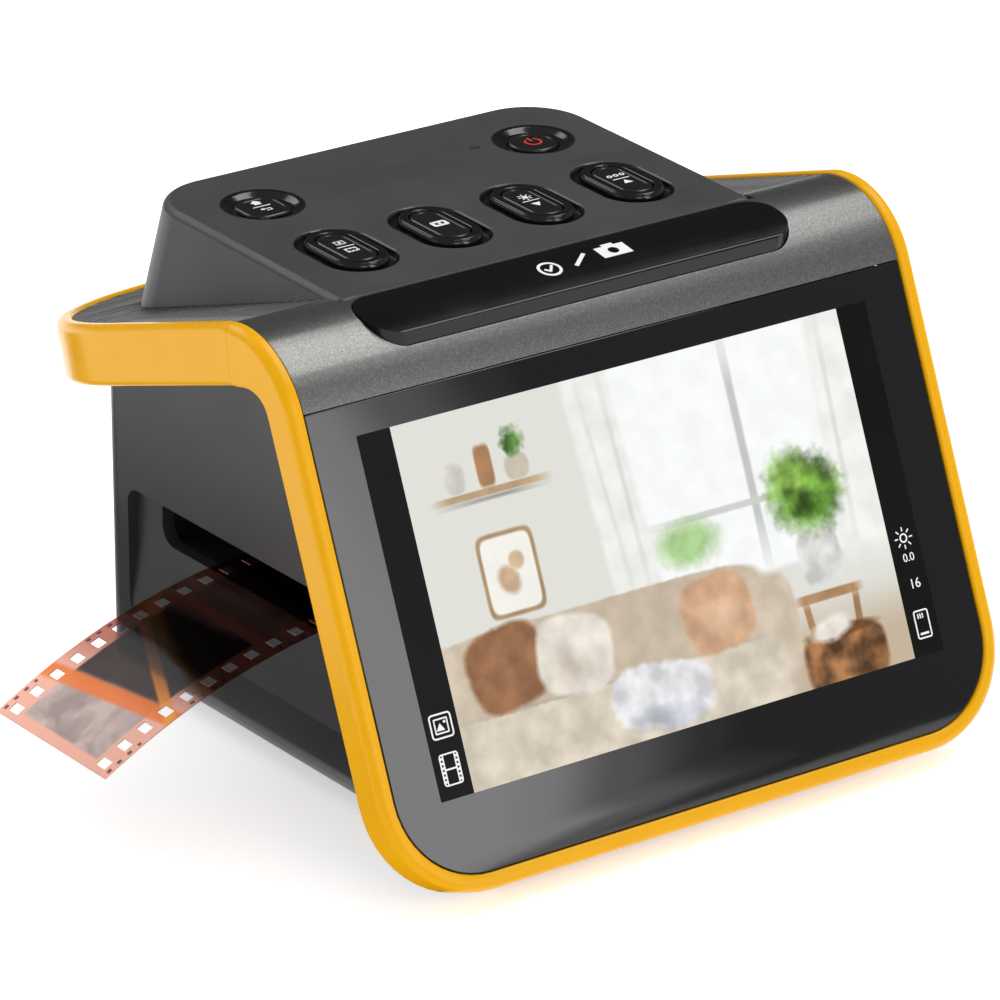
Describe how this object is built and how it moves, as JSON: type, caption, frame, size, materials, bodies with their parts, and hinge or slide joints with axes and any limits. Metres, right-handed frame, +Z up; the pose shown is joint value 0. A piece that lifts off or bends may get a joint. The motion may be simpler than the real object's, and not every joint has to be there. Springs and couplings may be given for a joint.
{
  "type": "film negative scanner",
  "caption": "Desktop film negative scanner with a leaning colour screen in a wrapped trim, a sloping ribbed arm, a raised key console and a film strip fed through a side slot.",
  "frame": {"origin": "on the table, in the middle of the whole footprint with the film strip", "axes": "+X to the right as seen from in front of the screen, +Y towards the back, +Z up"},
  "size_m": [0.1869, 0.1402, 0.0967],
  "materials": {
    "trim_yellow": "glossy",
    "screen_glass": "polished",
    "display_module": "satin",
    "inner_grey": "matte",
    "shoulder_grey": "satin with a fine metallic flake",
    "rib_grey": "fine texture",
    "console_grey": "fine texture",
    "body_grey": "fine texture",
    "key_black": "satin",
    "ring_black": "glossy",
    "bar_black": "glossy",
    "lamp_clear": "glossy",
    "board_green": "solder mask",
    "switch_metal": "satin",
    "base_dark": "fine texture",
    "foot_rubber": "matte",
    "screw_steel": "satin",
    "tray_black": "satin",
    "pin_steel": "satin",
    "film_brown": "glossy",
    "lamp_white": "matte",
    "diffuser_white": "milky",
    "optics_black": "matte",
    "lens_glass": "polished",
    "post_brass": "satin",
    "port_steel": "satin",
    "card_blue": "satin",
    "flex_amber": "satin"
  },
  "bodies": {
    "scanner": {"front_trim": "trim_yellow", "arm_trim": "trim_yellow", "front_glass": "screen_glass", "lcd_panel": "display_module", "display_carrier": "inner_grey", "display_housing": "inner_grey", "arm_housing": "inner_grey", "shoulder_cover": "shoulder_grey", "ribbed_plate": "rib_grey", "console_cover": "console_grey", "key_rings": "ring_black", "status_lens": "lamp_clear", "key_board": "board_green", "tact_switches": "switch_metal", "body_shell": "body_grey", "base_plate": "base_dark", "rubber_feet": "foot_rubber", "base_screws": "screw_steel", "tray_channel": "tray_black", "light_box": "lamp_white", "led_board": "lamp_white", "diffuser": "diffuser_white", "camera_housing": "optics_black", "lens_barrel": "optics_black", "lens_glass": "lens_glass", "sensor_board": "board_green", "board_posts": "post_brass", "main_board": "board_green", "usb_port": "port_steel", "hdmi_port": "port_steel", "card_socket": "port_steel", "display_flex": "flex_amber", "key_flex": "flex_amber"},
    "tray": {"tray_base": "tray_black", "tray_lid": "tray_black", "hinge_pin": "pin_steel"},
    "film": {"film_strip": "film_brown"},
    "card": {"memory_card": "card_blue"},
    "shutter_bar_cap": {"shutter_bar": "bar_black"},
    "power_key_cap": {"power_key": "key_black"},
    "home_key_cap": {"home_key": "key_black"},
    "mode_key_cap": {"mode_key": "key_black"},
    "gallery_key_cap": {"gallery_key": "key_black"},
    "bright_key_cap": {"bright_key": "key_black"},
    "colour_key_cap": {"colour_key": "key_black"}
  },
  "joints": [
    {"name": "tray_slide", "type": "slide", "parent": "scanner", "child": "tray", "axis": [1, 0, 0], "range_m": [0, 0.075]},
    {"name": "film_feed", "type": "slide", "parent": "scanner", "child": "film", "axis": [-1, 0, 0], "range_m": [0, 0.038]},
    {"name": "card_slide", "type": "slide", "parent": "scanner", "child": "card", "axis": [0, 1, 0], "range_m": [0, 0.02]},
    {"name": "shutter_press", "type": "slide", "parent": "scanner", "child": "shutter_bar_cap", "axis": [0, 0.0244, -0.9997], "range_m": [0, 0.0008], "stiffness_N_per_m": 300, "springref_m": -0.0005},
    {"name": "power_press", "type": "slide", "parent": "scanner", "child": "power_key_cap", "axis": [0, 0.0244, -0.9997], "range_m": [0, 0.0008], "stiffness_N_per_m": 300, "springref_m": -0.0005},
    {"name": "home_press", "type": "slide", "parent": "scanner", "child": "home_key_cap", "axis": [0, 0.0244, -0.9997], "range_m": [0, 0.0008], "stiffness_N_per_m": 300, "springref_m": -0.0005},
    {"name": "mode_press", "type": "slide", "parent": "scanner", "child": "mode_key_cap", "axis": [0, 0.0244, -0.9997], "range_m": [0, 0.0008], "stiffness_N_per_m": 300, "springref_m": -0.0005},
    {"name": "gallery_press", "type": "slide", "parent": "scanner", "child": "gallery_key_cap", "axis": [0, 0.0244, -0.9997], "range_m": [0, 0.0008], "stiffness_N_per_m": 300, "springref_m": -0.0005},
    {"name": "bright_press", "type": "slide", "parent": "scanner", "child": "bright_key_cap", "axis": [0, 0.0244, -0.9997], "range_m": [0, 0.0008], "stiffness_N_per_m": 300, "springref_m": -0.0005},
    {"name": "colour_press", "type": "slide", "parent": "scanner", "child": "colour_key_cap", "axis": [0, 0.0244, -0.9997], "range_m": [0, 0.0008], "stiffness_N_per_m": 300, "springref_m": -0.0005}
  ]
}
